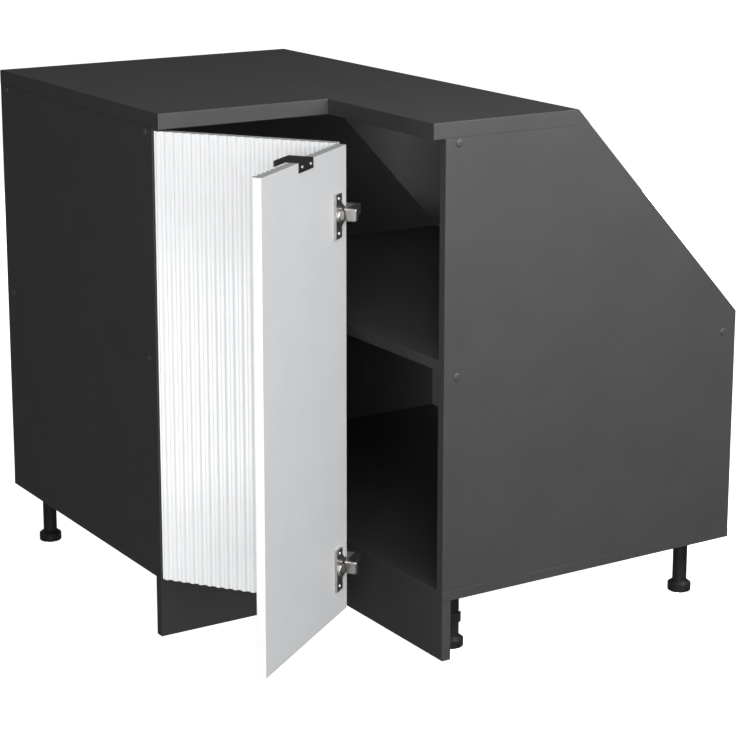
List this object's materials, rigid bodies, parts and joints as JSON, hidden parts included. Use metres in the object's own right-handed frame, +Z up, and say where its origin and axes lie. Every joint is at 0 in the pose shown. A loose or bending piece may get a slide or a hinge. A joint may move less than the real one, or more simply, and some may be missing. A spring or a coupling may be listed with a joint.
{
  "type": "sloped ceiling corner cabinet",
  "caption": "L-shaped kitchen corner base cabinet for a room with a sloped ceiling, with a notched worktop, a slanted back, an inner shelf, levelling legs and fluted folding doors.",
  "frame": {"origin": "on the floor, under the middle of the bounding box with the doors standing open as at rest", "axes": "+X towards the low wall under the slope, +Y towards the back wall, +Z up"},
  "size_m": [0.9676, 1.0218, 0.85],
  "materials": {
    "carcass_board": "matte anthracite melamine face on chipboard",
    "door_board": "white lacquered fluted board",
    "nickel_steel": "nickel-plated pressed steel",
    "zinc_screw": "zinc-plated steel",
    "handle_metal": "matte black bent sheet",
    "leg_plastic": "black moulded plastic",
    "cap_plastic": "satin grey moulded plastic",
    "beech_dowel": "plain beech"
  },
  "bodies": {
    "carcass": {"worktop": "carcass_board", "bottom_panel": "carcass_board", "left_side_panel": "carcass_board", "right_side_panel": "carcass_board", "rear_panel": "carcass_board", "knee_panel": "carcass_board", "slope_panel": "carcass_board", "shelf": "carcass_board", "left_shelf_cleat": "carcass_board", "right_shelf_cleat": "carcass_board", "rear_shelf_cleat": "carcass_board", "front_left_rail": "carcass_board", "front_right_rail": "carcass_board", "rear_rail": "carcass_board", "slope_rail": "carcass_board", "left_plinth": "carcass_board", "right_plinth": "carcass_board", "door_1_hinge_arms": "nickel_steel", "door_1_hinge_plates": "nickel_steel", "door_1_plate_screws": "zinc_screw", "carcass_screws": "zinc_screw", "base_screws": "zinc_screw", "worktop_screws": "zinc_screw", "leg_screws": "zinc_screw", "plinth_screws": "zinc_screw", "plinth_corner_plate": "zinc_screw", "leg_plates": "leg_plastic", "leg_stems": "leg_plastic", "plinth_clips": "leg_plastic", "right_cover_caps": "cap_plastic", "left_cover_caps": "cap_plastic", "dowels": "beech_dowel"},
    "door_1": {"door_1": "door_board", "door_1_hinge_cups": "nickel_steel", "door_1_hinge_pins": "nickel_steel", "door_1_cup_screws": "zinc_screw", "door_2_hinge_arms": "nickel_steel", "door_2_hinge_plates": "nickel_steel", "door_2_plate_screws": "zinc_screw"},
    "door_2": {"door_2": "door_board", "door_2_hinge_cups": "nickel_steel", "door_2_hinge_pins": "nickel_steel", "door_2_cup_screws": "zinc_screw", "handle": "handle_metal", "handle_screws": "zinc_screw"},
    "foot_left_front": {"foot_left_front": "leg_plastic"},
    "foot_inner_corner": {"foot_inner_corner": "leg_plastic"},
    "foot_right_front": {"foot_right_front": "leg_plastic"},
    "foot_right_back": {"foot_right_back": "leg_plastic"},
    "foot_room_corner": {"foot_room_corner": "leg_plastic"},
    "foot_left_back": {"foot_left_back": "leg_plastic"}
  },
  "joints": [
    {"name": "door_1_swing", "type": "hinge", "parent": "carcass", "child": "door_1", "pos_m": [-0.40818, -0.07709, 0.45], "axis": [0, 0, -1], "range_deg": [-54, 46]},
    {"name": "door_2_fold", "type": "hinge", "parent": "door_1", "child": "door_2", "pos_m": [-0.24325, -0.33303, 0.45], "axis": [0, 0, -1], "range_deg": [0, 60]},
    {"name": "foot_left_front_turn", "type": "hinge", "parent": "carcass", "child": "foot_left_front", "pos_m": [-0.36118, -0.01209, 0], "axis": [0, 0, 1], "continuous": true},
    {"name": "foot_inner_corner_turn", "type": "hinge", "parent": "carcass", "child": "foot_inner_corner", "pos_m": [-0.03918, -0.01209, 0], "axis": [0, 0, 1], "continuous": true},
    {"name": "foot_right_front_turn", "type": "hinge", "parent": "carcass", "child": "foot_right_front", "pos_m": [-0.03918, -0.33409, 0], "axis": [0, 0, 1], "continuous": true},
    {"name": "foot_right_back_turn", "type": "hinge", "parent": "carcass", "child": "foot_right_back", "pos_m": [0.42882, -0.33409, 0], "axis": [0, 0, 1], "continuous": true},
    {"name": "foot_room_corner_turn", "type": "hinge", "parent": "carcass", "child": "foot_room_corner", "pos_m": [0.42882, 0.45591, 0], "axis": [0, 0, 1], "continuous": true},
    {"name": "foot_left_back_turn", "type": "hinge", "parent": "carcass", "child": "foot_left_back", "pos_m": [-0.37018, 0.46491, 0], "axis": [0, 0, 1], "continuous": true}
  ]
}
